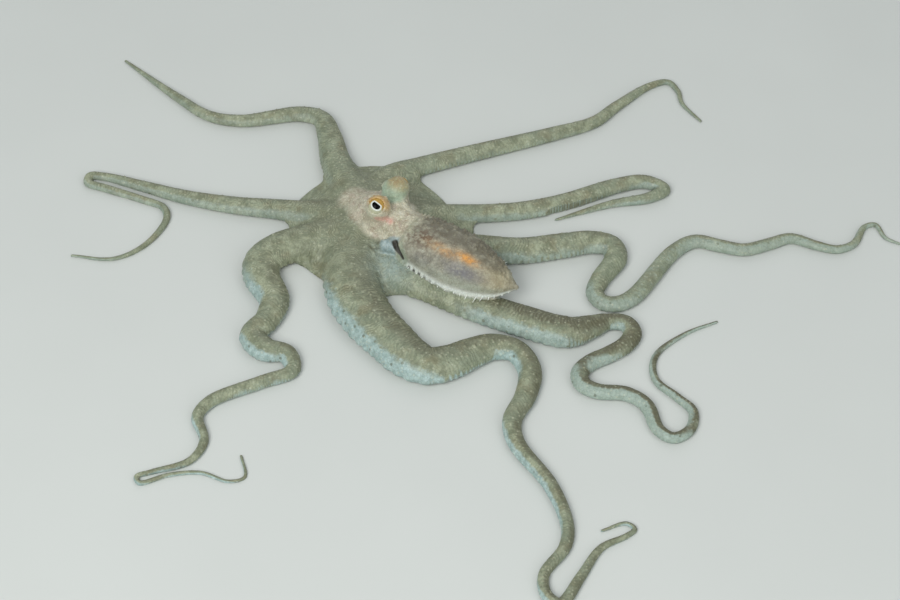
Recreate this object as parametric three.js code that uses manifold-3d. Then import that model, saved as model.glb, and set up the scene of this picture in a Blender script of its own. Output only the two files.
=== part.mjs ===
// A small long-armed octopus at life size, resting on flat ground with its arms spread.
// Millimetres, +Z up. The ground is z = 0 and the origin lies under the middle of the arm
// crown. The head faces up-left in plan (see HEADING) and the mantle trails behind it.
import * as THREE from 'three';
import { mergeVertices } from 'three/addons/utils/BufferGeometryUtils.js';
import Module from 'manifold-3d';

const wasm = await Module();
wasm.setup();

// ---- driving sizes -------------------------------------------------------------------

const GAP = 0.3;                 // left between neighbouring pieces
const HEADING = 142;             // degrees from +X towards which the head faces

const ARM_FLATTEN = 0.85;        // height over width of a slender arm
const ARM_FLATTEN_FROM = 22;     // the width at which that ratio has halved
const ARM_STEP = 8;              // longest stretch between two sections
const ARM_TURN = 24;             // most degrees turned between two sections
const BEND_ROOM = 0.62;          // most of a bend's radius that its inner side fills
const ARM_SECTION = [            // half widths and heights, as shares, right of the ridge
  [0.72, 0],
  [1, 0.24],
  [0.82, 0.7],
  [0.34, 1],
];

// Each arm runs through its points, root first, and has the given width where each length
// ends. The first length lies in the crown, and each later one is a piece of its own.
const ARMS = {
  right_1: {
    rootWidth: 14,
    lengths: [
      { width: 9.8, through: [[-3, 6], [-8, 18], [-12.5, 30]] },
      { width: 6.5, through: [[-15, 42], [-18, 50]] },
      { width: 4.8, through: [[-25, 52.5], [-44, 49.5]] },
      { width: 3.2, through: [[-55, 52], [-66, 61]] },
      { width: 0.9, through: [[-86, 80.5]] },
    ],
  },
  right_2: {
    rootWidth: 9,
    lengths: [
      { width: 7.2, through: [[1, 7], [1, 16], [5, 23], [15, 27.5]] },
      { width: 5.4, through: [[34, 34.5], [58, 43]] },
      { width: 3.8, through: [[72, 49], [80, 57]] },
      { width: 2.1, through: [[92, 67.5], [98, 69.3]] },
      { width: 0.9, through: [[101, 65], [102, 59], [107.5, 50.5]] },
    ],
  },
  right_3: {
    rootWidth: 7,
    lengths: [
      { width: 6.8, through: [[6.5, 3.5], [16, 5.8], [36, 6.4]] },
      { width: 6.6, through: [[47, 7.5], [60, 11]] },
      { width: 5.2, through: [[78, 19], [87, 20.8]] },
      { width: 4, through: [[92.8, 17.5], [88, 14]] },
      { width: 0.9, through: [[76, 11.5], [58, 5]] },
    ],
  },
  right_4: {
    rootWidth: 10,
    lengths: [
      { width: 10, through: [[7, -2.5], [15, -6], [36.5, -9.6]] },
      { width: 9.3, through: [[47, -10.3], [60, -8]] },
      { width: 7.2, through: [[68.5, -6.5], [74.5, -8], [75.8, -13]] },
      { width: 5.5, through: [[70.5, -22], [68.7, -27.3]] },
      { width: 5.6, through: [[70.7, -31.1], [75.2, -31.9], [80.2, -29]] },
      { width: 4.9, through: [[94, -10], [101, -5.5]] },
      { width: 4.3, through: [[109, -7.5], [116, -9], [124, -6.5]] },
      { width: 3, through: [[131, -4], [139, -7], [145, -8.5]] },
      { width: 0.9, through: [[150.5, -6], [155, 1.5], [158.5, 2.5], [161, -3], [165, -5.5]] },
    ],
  },
  left_4: {
    rootWidth: 12,
    lengths: [
      { width: 11, through: [[3.5, -7], [6, -16], [13, -23], [18, -25.5]] },
      { width: 11.4, through: [[32, -33.2], [46, -39.4], [59.5, -43.9]] },
      { width: 5.8, through: [[66, -41.8], [72, -39.2]] },
      { width: 5.6, through: [[77.3, -39.8], [79.2, -43.5], [77, -48], [72, -51.8]] },
      { width: 5.4, through: [[66, -55.2], [62.8, -59], [63.4, -63.3]] },
      { width: 4.9, through: [[67.5, -66], [76, -67]] },
      { width: 4, through: [[81.5, -71], [84.5, -80]] },
      { width: 3.3, through: [[88.5, -83], [93.5, -80]] },
      { width: 2.4, through: [[95, -73], [91, -68], [85, -61]] },
      { width: 0.9, through: [[85.5, -52], [95, -43], [105, -38]] },
    ],
  },
  left_3: {
    rootWidth: 18,
    lengths: [
      { width: 17.2, through: [[-2, -7], [-5.5, -17], [-5, -27], [-3.3, -32.5]] },
      { width: 14.6, through: [[1, -40.4], [6.8, -47.7], [12, -53.8]] },
      { width: 12, through: [[18, -57.2], [24.5, -55.7]] },
      { width: 7.8, through: [[30.5, -52.3], [37, -49.6], [44, -51]] },
      { width: 6.5, through: [[48, -58.5], [46.5, -68]] },
      { width: 5.2, through: [[42.5, -77], [43.5, -85]] },
      { width: 3.9, through: [[53, -100.5], [57, -114]] },
      { width: 3.2, through: [[56, -121], [50, -130]] },
      { width: 3.6, through: [[50.5, -136.5], [54, -139.5]] },
      {
        width: 0.9,
        through: [[60, -130.5], [66, -121], [73, -117], [75.6, -114.6], [73.4, -112.6], [66.5, -115]],
      },
    ],
  },
  left_2: {
    rootWidth: 14,
    lengths: [
      { width: 12.8, through: [[-7, -3.5], [-17, -6], [-28, -10]] },
      { width: 11.4, through: [[-33, -14.8], [-33.3, -20.8]] },
      { width: 8, through: [[-28.8, -31], [-30.4, -38.3]] },
      { width: 8.2, through: [[-34.4, -45], [-30.6, -50.3]] },
      { width: 4.6, through: [[-24, -52], [-22, -58]] },
      { width: 4.2, through: [[-31, -62.5], [-45, -69.5]] },
      { width: 2.8, through: [[-48.5, -75], [-46, -84]] },
      { width: 1.7, through: [[-49.5, -91], [-60, -94.8]] },
      { width: 1.3, through: [[-64, -96.4], [-63, -98.6], [-55, -95.8], [-46, -95]] },
      { width: 0.9, through: [[-38, -98], [-33.5, -96.5], [-35, -89]] },
    ],
  },
  left_1: {
    rootWidth: 11,
    lengths: [
      { width: 7.5, through: [[-6, 2], [-15, 5], [-30, 8]] },
      { width: 5.2, through: [[-44, 10], [-60, 14]] },
      { width: 3, through: [[-73, 18.8], [-87, 23.8]] },
      { width: 2.9, through: [[-91.3, 24], [-91.5, 21], [-86, 18.6]] },
      { width: 2.5, through: [[-73, 13.3], [-66.5, 10]] },
      { width: 0.9, through: [[-65, 5], [-71, -6.5], [-80, -12], [-93, -10.5]] },
    ],
  },
};

// The web: how far it reaches from the origin midway between an arm and the next one
// anticlockwise, and how it slopes from its margin to the middle of the crown.
const WEB_DEPTH = {
  right_1: 27,
  left_1: 26,
  left_2: 25.4,
  left_3: 28,
  left_4: 24,
  right_4: 32,
  right_3: 26,
  right_2: 29,
};
const WEB_AT_ARM = 29;
const WEB_SLOPE = [              // share of the reach, height
  [1, 0],
  [1, 1],
  [0.8, 2.4],
  [0.55, 4.6],
  [0.3, 6.6],
  [0.1, 7.4],
];
const WEB_SIDES = 44;

// Head and mantle: centre, half width and half height of each station, front to back.
const HEAD_STATIONS = [
  { at: [-5, 7.5, 4.6], half: [4.2, 2.6] },
  { at: [-0.5, 3.8, 7], half: [6.8, 5] },
  { at: [4.6, -0.6, 8], half: [7.4, 6.2] },
  { at: [9.4, -5.6, 8], half: [6.7, 6] },
  { at: [15, -11.1, 8.7], half: [7, 6.2] },
];
const MANTLE_STATIONS = [
  { at: [12, -8.8, 8.4], half: [8.1, 6.1] },
  { at: [19, -14.6, 8.9], half: [9.6, 6.9] },
  { at: [27, -20.9, 9.1], half: [10.1, 7.4] },
  { at: [34, -25.9, 8.8], half: [8.3, 6.4] },
  { at: [40, -29.3, 8.5], half: [5.2, 4.1] },
  { at: [44.4, -31.4, 8.6], half: [0.9, 0.8] },
];
const NECK = [13.7, -10];         // where the mantle's rim stands behind the head
const NECK_FACES = 141;          // degrees from +X, square across the neck
const BODY_SIDES = 16;
const BODY_STEPS = 3;            // sections between two stations
const KEEL = 1.12;               // how far the mantle's side edge stands out, as a factor
const KEEL_DROP = 22.5;          // degrees below the middle of the side

const EYES = {
  left: { at: [2.5, -4.6, 15.9], looks: HEADING + 98 },
  right: { at: [7.9, 3.3, 15.4], looks: HEADING - 98 },
};
const EYE_RADIUS = 3;
const EYE_LIFT = 38;             // degrees above level that the eyes look
const EYE_PROUD = 1.3;           // how far an eyeball sits ahead of its mound's middle
const MOUND = [                  // radius, height over the eye's own
  [0, -9.9],
  [4.6, -9.9],
  [3.9, -4.9],
  [3.5, -2.9],
  [3.9, -0.7],
  [3.2, 1.7],
  [1.9, 3.1],
  [0, 3.5],
];

const FUNNEL = {
  from: [9.5, -14.4, 8.8],
  to: [2.6, -13.6, 8.3],
  profile: [                     // radius, share of the length
    [0, 0],
    [2.7, 0],
    [2.4, 0.5],
    [1.9, 1],
    [1.1, 1],
    [1, 0.6],
    [0, 0.6],
  ],
};

const SKIN = { color: 0x8a8468, roughness: 0.55, metalness: 0 };
const HEAD_SKIN = { color: 0xa08a74, roughness: 0.55, metalness: 0 };
const MANTLE_SKIN = { color: 0x8d7a66, roughness: 0.55, metalness: 0 };
const FUNNEL_SKIN = { color: 0x9fb0b4, roughness: 0.5, metalness: 0 };
const EYE_GLOSS = { color: 0xc79a4a, roughness: 0.15, metalness: 0 };

// ---- solids --------------------------------------------------------------------------

const radians = THREE.MathUtils.degToRad;

/** Six times the volume inside closed triangles, negative if they face inwards. */
function volume(points, index) {
  let sum = 0;
  const cross = new THREE.Vector3();
  for (let i = 0; i < index.length; i += 3) {
    cross.crossVectors(points[index[i + 1]], points[index[i + 2]]);
    sum += points[index[i]].dot(cross);
  }
  return sum;
}

/** A closed skin over rings of equally many points, each end closed by a fan. */
function loft(rings) {
  const sides = rings[0].length;
  const points = rings.flat();
  const index = [];
  for (let r = 0; r < rings.length - 1; r += 1) {
    for (let i = 0; i < sides; i += 1) {
      const a = r * sides + i;
      const b = r * sides + ((i + 1) % sides);
      index.push(a, b, b + sides, a, b + sides, a + sides);
    }
  }
  const ends = [[0, rings[0]], [(rings.length - 1) * sides, rings.at(-1)]];
  ends.forEach(([first, ring], end) => {
    const middle = new THREE.Vector3();
    ring.forEach((p) => middle.addScaledVector(p, 1 / sides));
    points.push(middle);
    for (let i = 0; i < sides; i += 1) {
      const a = first + i;
      const b = first + ((i + 1) % sides);
      index.push(points.length - 1, end ? a : b, end ? b : a);
    }
  });
  if (volume(points, index) < 0) {
    index.reverse();
  }
  const geometry = new THREE.BufferGeometry().setFromPoints(points);
  geometry.setIndex(index);
  return geometry;
}

/** The manifold-3d solid of a closed geometry. */
function solid(geometry) {
  geometry.deleteAttribute('normal');
  geometry.deleteAttribute('uv');
  const merged = mergeVertices(geometry, 1e-4);
  const mesh = new wasm.Mesh({
    numProp: 3,
    vertProperties: new Float32Array(merged.attributes.position.array),
    triVerts: new Uint32Array(merged.index.array),
  });
  mesh.merge();
  return new wasm.Manifold(mesh);
}

/** The geometry of a manifold-3d solid. */
function surface(body) {
  const mesh = body.getMesh();
  const geometry = new THREE.BufferGeometry();
  geometry.setAttribute('position', new THREE.BufferAttribute(mesh.vertProperties, 3));
  geometry.setIndex(new THREE.BufferAttribute(mesh.triVerts, 1));
  return geometry;
}

// ---- arms ----------------------------------------------------------------------------

/** An arm's centre line on the ground, with its width at every place. */
function armLine({ rootWidth, lengths }) {
  const points = lengths.flatMap(({ through }) => through)
    .map(([x, y]) => new THREE.Vector3(x, y, 0));
  const curve = new THREE.CatmullRomCurve3(points, false, 'centripetal');
  const samples = 40 * points.length;
  const travelled = curve.getLengths(samples);
  const distance = (t) => travelled[Math.round(t * samples)];
  // where each length ends, as the curve's own parameter
  let last = -1;
  const ends = lengths.map(({ through }) => {
    last += through.length;
    return last / (points.length - 1);
  });
  const stops = [0, ...ends];
  const widths = [rootWidth, ...lengths.map(({ width }) => width)];
  const width = (t) => {
    const n = Math.max(1, stops.findIndex((stop) => stop >= t - 1e-9));
    const from = distance(stops[n - 1]);
    const share = (distance(t) - from) / (distance(stops[n]) - from);
    return THREE.MathUtils.lerp(widths[n - 1], widths[n], share);
  };
  return { curve, samples, width, ends };
}

/** The radius of the line's bend at t, negative where it bends to the right. */
function bendRadius(line, t) {
  const from = Math.max(0, t - 1 / line.samples);
  const to = Math.min(1, t + 1 / line.samples);
  const before = line.curve.getTangent(from);
  const after = line.curve.getTangent(to);
  const step = line.curve.getPoint(from).distanceTo(line.curve.getPoint(to));
  const turn = before.x * after.y - before.y * after.x;
  return step / (turn || 1e-9);
}

/** One section of an arm, standing across its centre line. */
function armRing(line, t, grow) {
  const half = line.width(t) / 2;
  const bend = bendRadius(line, t);
  const height = (2 * half * ARM_FLATTEN) / (1 + (2 * half) / ARM_FLATTEN_FROM);
  const middle = line.curve.getPoint(t);
  const along = line.curve.getTangent(t);
  const right = new THREE.Vector3(along.y, -along.x, 0);
  // a side that faces the middle of a tight bend is squeezed
  const room = (side) => (side * bend < 0 ? BEND_ROOM * Math.abs(bend) : half);
  const place = (side, [w, h]) => middle.clone()
    .addScaledVector(right, side * (Math.min(half, room(side)) * w + grow))
    .setZ(h * height + (h > 0 ? grow : 0));
  const rightSide = ARM_SECTION.map((share) => place(1, share));
  const leftSide = ARM_SECTION.map((share) => place(-1, share)).reverse();
  return [...rightSide, ...leftSide];
}

/** The arm between two places of its line, with sections closer where it bends. */
function armPiece(line, start, end, grow = 0) {
  const spots = [start];
  let last = start;
  let here = line.curve.getPoint(start);
  let heading = line.curve.getTangent(start);
  for (let i = Math.ceil(start * line.samples) + 1; i / line.samples < end; i += 1) {
    const t = i / line.samples;
    const point = line.curve.getPoint(t);
    const turn = THREE.MathUtils.radToDeg(heading.angleTo(line.curve.getTangent(t)));
    const far = point.distanceTo(here) > Math.min(ARM_STEP, 2 * line.width(t));
    if ((turn > ARM_TURN || far) && t - last > 2 / line.samples) {
      spots.push(t);
      last = t;
      here = point;
      heading = line.curve.getTangent(t);
    }
  }
  if (end - spots.at(-1) < 3 / line.samples && spots.length > 2) {
    spots.pop();
  }
  spots.push(end);
  return loft(spots.map((t) => armRing(line, t, grow)));
}

/** The curve parameter a given distance past t. */
function past(line, t, distance) {
  const small = 1e-4;
  const near = line.curve.getPoint(Math.min(t, 1 - small));
  const speed = near.distanceTo(line.curve.getPoint(Math.min(t, 1 - small) + small)) / small;
  return t + distance / speed;
}

const armLines = Object.fromEntries(
  Object.entries(ARMS).map(([name, arm]) => [name, armLine(arm)]),
);

// ---- crown ---------------------------------------------------------------------------

/** The azimuth at which an arm passes the web's margin. */
function azimuth(line) {
  let t = 0;
  while (line.curve.getPoint(t).length() < WEB_AT_ARM) {
    t += 1 / line.samples;
  }
  const p = line.curve.getPoint(t);
  return Math.atan2(p.y, p.x);
}

/** How far the web reaches in each direction. */
function webReach(angle) {
  const turn = 2 * Math.PI;
  const arms = Object.keys(ARMS).map((name) => ({ name, at: azimuth(armLines[name]) }));
  const behind = (arm) => (angle - arm.at + 2 * turn) % turn;
  const ahead = (arm) => (arm.at - angle + 2 * turn) % turn;
  const from = arms.reduce((a, b) => (behind(a) < behind(b) ? a : b));
  const to = arms.reduce((a, b) => (ahead(a) < ahead(b) ? a : b));
  const share = behind(from) / (behind(from) + ahead(to));
  const depth = WEB_DEPTH[from.name];
  return depth + (WEB_AT_ARM - depth) * Math.abs(2 * share - 1) ** 3;
}

/** The web with the roots of the eight arms in it. */
function crownSolid(grow = 0) {
  const angles = Array.from({ length: WEB_SIDES }, (_, i) => (2 * Math.PI * i) / WEB_SIDES);
  const reach = angles.map(webReach);
  const rings = WEB_SLOPE.map(([share, height]) => angles.map((a, i) => new THREE.Vector3(
    Math.cos(a) * (reach[i] * share + grow),
    Math.sin(a) * (reach[i] * share + grow),
    height + (height > 0 ? grow : 0),
  )));
  let crown = solid(loft(rings));
  for (const line of Object.values(armLines)) {
    crown = crown.add(solid(armPiece(line, 0, past(line, line.ends[0], grow - GAP / 2), grow)));
  }
  return crown;
}

// ---- head and mantle -----------------------------------------------------------------

/** Upright rings across the body's line, with a keel along each side. */
function bodyRings(stations, keel = 1) {
  const middles = stations.map(({ at }) => new THREE.Vector3(...at));
  const halves = stations.map(({ half }) => new THREE.Vector3(...half, 0));
  const line = new THREE.CatmullRomCurve3(middles);
  const size = new THREE.CatmullRomCurve3(halves);
  const steps = (stations.length - 1) * BODY_STEPS;
  const keelStep = Math.round((KEEL_DROP * BODY_SIDES) / 360);
  return Array.from({ length: steps + 1 }, (_, s) => {
    const middle = line.getPoint(s / steps);
    const half = size.getPoint(s / steps);
    const along = line.getTangent(s / steps).setZ(0).normalize();
    const left = new THREE.Vector3(along.y, -along.x, 0);
    return Array.from({ length: BODY_SIDES }, (__, i) => {
      const angle = (2 * Math.PI * i) / BODY_SIDES;
      const onKeel = i === BODY_SIDES - keelStep || i === BODY_SIDES / 2 + keelStep;
      const factor = onKeel ? keel : 1;
      return middle.clone()
        .addScaledVector(left, half.x * Math.cos(angle) * factor)
        .add(new THREE.Vector3(0, 0, half.y * Math.sin(angle)));
    });
  });
}

/** The point at the middle of an eyeball. */
function eyeMiddle({ at, looks }) {
  const gaze = new THREE.Vector3(
    Math.cos(radians(looks)) * Math.cos(radians(EYE_LIFT)),
    Math.sin(radians(looks)) * Math.cos(radians(EYE_LIFT)),
    Math.sin(radians(EYE_LIFT)),
  );
  return new THREE.Vector3(...at).addScaledVector(gaze, EYE_PROUD);
}

function eyeGeometry(eye, grow = 0) {
  const ball = new THREE.SphereGeometry(EYE_RADIUS + grow, 12, 8);
  const middle = eyeMiddle(eye);
  return ball.translate(middle.x, middle.y, middle.z);
}

function moundGeometry({ at }) {
  const outline = MOUND.map(([radius, height]) => new THREE.Vector2(radius, height));
  return new THREE.LatheGeometry(outline, 12).rotateX(Math.PI / 2).translate(...at);
}

function funnelGeometry(grow = 0) {
  const from = new THREE.Vector3(...FUNNEL.from);
  const axis = new THREE.Vector3(...FUNNEL.to).sub(from);
  const length = axis.length();
  const plain = [[0, 0], [FUNNEL.profile[1][0] + grow, 0], [FUNNEL.profile[3][0] + grow, 1], [0, 1]];
  const outline = (grow ? plain : FUNNEL.profile)
    .map(([radius, share]) => new THREE.Vector2(radius, share * (length + grow)));
  const turned = new THREE.Quaternion()
    .setFromUnitVectors(new THREE.Vector3(0, 1, 0), axis.normalize());
  return new THREE.LatheGeometry(outline, 12)
    .applyQuaternion(turned)
    .translate(from.x, from.y, from.z);
}

/** A block that ends just short of the neck: side 1 lies before it, side -1 behind it. */
function neckBlock(side) {
  const size = 80;
  const faces = radians(NECK_FACES);
  const away = side * (size / 2 - GAP / 2);
  return new THREE.BoxGeometry(size, size, size)
    .rotateZ(faces)
    .translate(NECK[0] + away * Math.cos(faces), NECK[1] + away * Math.sin(faces), 0);
}

function headSolid(crownRoom) {
  let head = solid(loft(bodyRings(HEAD_STATIONS))).subtract(solid(neckBlock(-1)));
  for (const eye of Object.values(EYES)) {
    head = head.add(solid(moundGeometry(eye)));
  }
  for (const eye of Object.values(EYES)) {
    head = head.subtract(solid(eyeGeometry(eye, GAP)));
  }
  return head.subtract(crownRoom).subtract(solid(funnelGeometry(GAP)));
}

function mantleSolid(crownRoom) {
  let mantle = solid(loft(bodyRings(MANTLE_STATIONS, KEEL))).subtract(solid(neckBlock(1)));
  for (const name of ['right_4', 'left_4']) {
    const line = armLines[name];
    const under = armPiece(line, line.ends[0], line.ends[1], GAP);
    mantle = mantle.subtract(solid(under));
  }
  return mantle.subtract(crownRoom).subtract(solid(funnelGeometry(GAP)));
}

// ---- the animal ----------------------------------------------------------------------

const octopus = new THREE.Group();

function piece(name, geometry, look) {
  const mesh = new THREE.Mesh(geometry, new THREE.MeshStandardMaterial(look));
  mesh.name = name;
  octopus.add(mesh);
}

const crownRoom = crownSolid(GAP);
piece('arm_crown', surface(crownSolid()), SKIN);
piece('head', surface(headSolid(crownRoom)), HEAD_SKIN);
piece('mantle', surface(mantleSolid(crownRoom)), MANTLE_SKIN);
piece('funnel', surface(solid(funnelGeometry()).subtract(crownRoom)), FUNNEL_SKIN);
for (const [side, eye] of Object.entries(EYES)) {
  piece(`eye_${side}`, eyeGeometry(eye), EYE_GLOSS);
}

for (const [name, line] of Object.entries(armLines)) {
  for (let n = 1; n < line.ends.length; n += 1) {
    const start = past(line, line.ends[n - 1], GAP / 2);
    const isTip = n === line.ends.length - 1;
    const end = isTip ? 1 : past(line, line.ends[n], -GAP / 2);
    piece(`arm_${name}_length_${n}`, armPiece(line, start, end), SKIN);
  }
}

export default octopus;
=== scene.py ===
"""A small long-armed octopus: one unbroken skin in place of its CAD solids,
with eyes, suckers and spines.

The animal's own sizes are in millimetres, as in its CAD source, and MM turns them into
Blender's metres where a mesh or a texture is made. The camera and the lights are in metres.
"""
import math

import bpy
import numpy as np
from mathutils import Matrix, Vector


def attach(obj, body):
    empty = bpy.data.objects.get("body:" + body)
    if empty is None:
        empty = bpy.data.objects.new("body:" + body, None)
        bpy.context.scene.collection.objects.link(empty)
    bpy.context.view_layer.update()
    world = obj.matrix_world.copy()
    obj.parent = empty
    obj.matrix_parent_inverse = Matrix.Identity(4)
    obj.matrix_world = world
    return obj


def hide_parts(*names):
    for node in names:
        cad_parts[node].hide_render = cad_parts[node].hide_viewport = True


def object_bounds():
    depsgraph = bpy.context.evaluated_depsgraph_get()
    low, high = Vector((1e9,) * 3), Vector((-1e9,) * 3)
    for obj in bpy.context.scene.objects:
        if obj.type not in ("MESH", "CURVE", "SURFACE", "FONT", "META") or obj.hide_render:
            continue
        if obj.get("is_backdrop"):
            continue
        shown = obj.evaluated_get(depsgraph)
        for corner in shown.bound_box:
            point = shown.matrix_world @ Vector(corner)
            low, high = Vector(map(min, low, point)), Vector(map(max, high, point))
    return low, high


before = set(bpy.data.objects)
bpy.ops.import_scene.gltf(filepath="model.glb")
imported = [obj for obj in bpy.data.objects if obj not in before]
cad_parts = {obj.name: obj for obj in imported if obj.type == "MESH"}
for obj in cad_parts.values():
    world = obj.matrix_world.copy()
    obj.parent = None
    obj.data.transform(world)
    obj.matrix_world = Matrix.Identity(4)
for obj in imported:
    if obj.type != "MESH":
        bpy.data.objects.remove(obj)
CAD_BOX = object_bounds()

import openvdb
from mathutils import Vector, kdtree

# ---- sizes, in millimetres ----

MM = 0.001
VOXEL = 0.3
FAR = 9.0  # the distance kept where no flesh is near
SHELL = 3.2  # how far round a form its distance is worked out
SEED = 7  # of every random draw

HEADING = 142  # degrees from +X towards which the head faces
NECK = (13.7, -10)  # where the mantle's rim stands behind the head
NECK_FACES = 141

# Each arm runs through its points, root first, and has the given width where each length ends.
ARMS = {
    "right_1": (14, [
        (9.8, [(-3, 6), (-8, 18), (-12.5, 30)]),
        (6.5, [(-15, 42), (-18, 50)]),
        (4.8, [(-25, 52.5), (-44, 49.5)]),
        (3.2, [(-55, 52), (-66, 61)]),
        (0.9, [(-86, 80.5)]),
    ]),
    "right_2": (9, [
        (7.2, [(1, 7), (1, 16), (5, 23), (15, 27.5)]),
        (5.4, [(34, 34.5), (58, 43)]),
        (3.8, [(72, 49), (80, 57)]),
        (2.1, [(92, 67.5), (98, 69.3)]),
        (0.9, [(101, 65), (102, 59), (107.5, 50.5)]),
    ]),
    "right_3": (7, [
        (6.8, [(6.5, 3.5), (16, 5.8), (36, 6.4)]),
        (6.6, [(47, 7.5), (60, 11)]),
        (5.2, [(78, 19), (87, 20.8)]),
        (4, [(92.8, 17.5), (88, 14)]),
        (0.9, [(76, 11.5), (58, 5)]),
    ]),
    "right_4": (10, [
        (10, [(7, -2.5), (15, -6), (36.5, -9.6)]),
        (9.3, [(47, -10.3), (60, -8)]),
        (7.2, [(68.5, -6.5), (74.5, -8), (75.8, -13)]),
        (5.5, [(70.5, -22), (68.7, -27.3)]),
        (5.6, [(70.7, -31.1), (75.2, -31.9), (80.2, -29)]),
        (4.9, [(94, -10), (101, -5.5)]),
        (4.3, [(109, -7.5), (116, -9), (124, -6.5)]),
        (3, [(131, -4), (139, -7), (145, -8.5)]),
        (0.9, [(150.5, -6), (155, 1.5), (158.5, 2.5), (161, -3), (165, -5.5)]),
    ]),
    "left_4": (12, [
        (11, [(3.5, -7), (6, -16), (13, -23), (18, -25.5)]),
        (11.4, [(32, -33.2), (46, -39.4), (59.5, -43.9)]),
        (5.8, [(66, -41.8), (72, -39.2)]),
        (5.6, [(77.3, -39.8), (79.2, -43.5), (77, -48), (72, -51.8)]),
        (5.4, [(66, -55.2), (62.8, -59), (63.4, -63.3)]),
        (4.9, [(67.5, -66), (76, -67)]),
        (4, [(81.5, -71), (84.5, -80)]),
        (3.3, [(88.5, -83), (93.5, -80)]),
        (2.4, [(95, -73), (91, -68), (85, -61)]),
        (0.9, [(85.5, -52), (95, -43), (105, -38)]),
    ]),
    "left_3": (18, [
        (17.2, [(-2, -7), (-5.5, -17), (-5, -27), (-3.3, -32.5)]),
        (14.6, [(1, -40.4), (6.8, -47.7), (12, -53.8)]),
        (12, [(18, -57.2), (24.5, -55.7)]),
        (7.8, [(30.5, -52.3), (37, -49.6), (44, -51)]),
        (6.5, [(48, -58.5), (46.5, -68)]),
        (5.2, [(42.5, -77), (43.5, -85)]),
        (3.9, [(53, -100.5), (57, -114)]),
        (3.2, [(56, -121), (50, -130)]),
        (3.6, [(50.5, -136.5), (54, -139.5)]),
        (0.9, [(60, -130.5), (66, -121), (73, -117), (75.6, -114.6), (73.4, -112.6), (66.5, -115)]),
    ]),
    "left_2": (14, [
        (12.8, [(-7, -3.5), (-17, -6), (-28, -10)]),
        (11.4, [(-33, -14.8), (-33.3, -20.8)]),
        (8, [(-28.8, -31), (-30.4, -38.3)]),
        (8.2, [(-34.4, -45), (-30.6, -50.3)]),
        (4.6, [(-24, -52), (-22, -58)]),
        (4.2, [(-31, -62.5), (-45, -69.5)]),
        (2.8, [(-48.5, -75), (-46, -84)]),
        (1.7, [(-49.5, -91), (-60, -94.8)]),
        (1.3, [(-64, -96.4), (-63, -98.6), (-55, -95.8), (-46, -95)]),
        (0.9, [(-38, -98), (-33.5, -96.5), (-35, -89)]),
    ]),
    "left_1": (11, [
        (7.5, [(-6, 2), (-15, 5), (-30, 8)]),
        (5.2, [(-44, 10), (-60, 14)]),
        (3, [(-73, 18.8), (-87, 23.8)]),
        (2.9, [(-91.3, 24), (-91.5, 21), (-86, 18.6)]),
        (2.5, [(-73, 13.3), (-66.5, 10)]),
        (0.9, [(-65, 5), (-71, -6.5), (-80, -12), (-93, -10.5)]),
    ]),
}
ARM_FLATTEN = 0.85  # height over width of a slender arm
ARM_FLATTEN_FROM = 22  # the width at which that ratio has halved
ARM_WAIST = 0.28  # how high an arm is widest, as a share of its height
ARM_FOOT = 0.74  # half width under an arm, as a share
SCALLOP = 0.035  # how far an arm's foot bulges over a sucker, as a share
ARM_BLEND = 2.6  # how softly the roots of the arms join
TIP_BLEND = 0.05  # how softly two arms join beyond the web
BLEND_FADES = 9  # how far beyond the web the one becomes the other
ROUTE_STEPS = 12  # stretches of a route between two of its points
NEVER = 400  # a travel that no arm reaches

# For each arm: how pale its near margin is, how dark and ribbed its far side is, and the
# travels from which that margin shows and from which most of the arm is pale. The far side's
# darkness is partly the skin's own colour and partly painted shade.
FLANKS = {
    "right_1": (0.2, 0.2, 6, NEVER),
    "right_2": (0.3, 0.3, 6, NEVER),
    "right_3": (0.45, 0.3, 6, NEVER),
    "right_4": (0.5, 0.35, 24, 88),
    "left_4": (0.72, 1.6, 40, 105),
    "left_3": (1.0, 0.75, 18, NEVER),
    "left_2": (1.0, 0.5, 34, NEVER),
    "left_1": (0.35, 0.3, 6, NEVER),
}

# How far the web reaches midway between an arm and the next one anticlockwise.
WEB_DEPTH = {
    "right_1": 27,
    "left_1": 26,
    "left_2": 25.4,
    "left_3": 28,
    "left_4": 24,
    "right_4": 32,
    "right_3": 26,
    "right_2": 29,
}
WEB_AT_ARM = 29
WEB_TOP = 7.5
WEB_EDGE = 1.0
FLOOR_GAP = 0.12  # nothing of the skin hangs lower than this

# Centre, half width and half height of each station, front to back.
HEAD_STATIONS = [
    (-5, 7.5, 4.6, 4.2, 2.6),
    (-0.5, 3.8, 7, 6.8, 5),
    (4.6, -0.6, 8, 7.4, 6.2),
    (9.4, -5.6, 8, 6.7, 6),
    (15, -11.1, 8.7, 7, 6.2),
]
MANTLE_STATIONS = [
    (12, -8.8, 8.4, 8.1, 6.1),
    (19, -14.6, 8.9, 9.6, 6.9),
    (27, -20.9, 9.1, 10.1, 7.4),
    (34, -25.9, 8.8, 8.3, 6.4),
    (40, -29.3, 8.5, 5.2, 4.1),
    (44.4, -31.4, 8.6, 0.9, 0.8),
]
HEAD_BLEND = 2.4
MANTLE_BLEND = 0.9
KEEL_AT = -0.38  # height of the mantle's keel, as a share of its half height
KEEL_OUT = 0.11
KEEL_THICK = 0.2

EYE_SPREAD = 98  # degrees from the heading to each eye's socket
EYE_LIFT = 38
EYE_PROUD = 1.3  # how far an eyeball sits ahead of its mound's middle
EYE_RADIUS = 3.0
CORNEA_BULGE = 0.05  # of the eye's clear front, as a share of its radius
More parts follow.
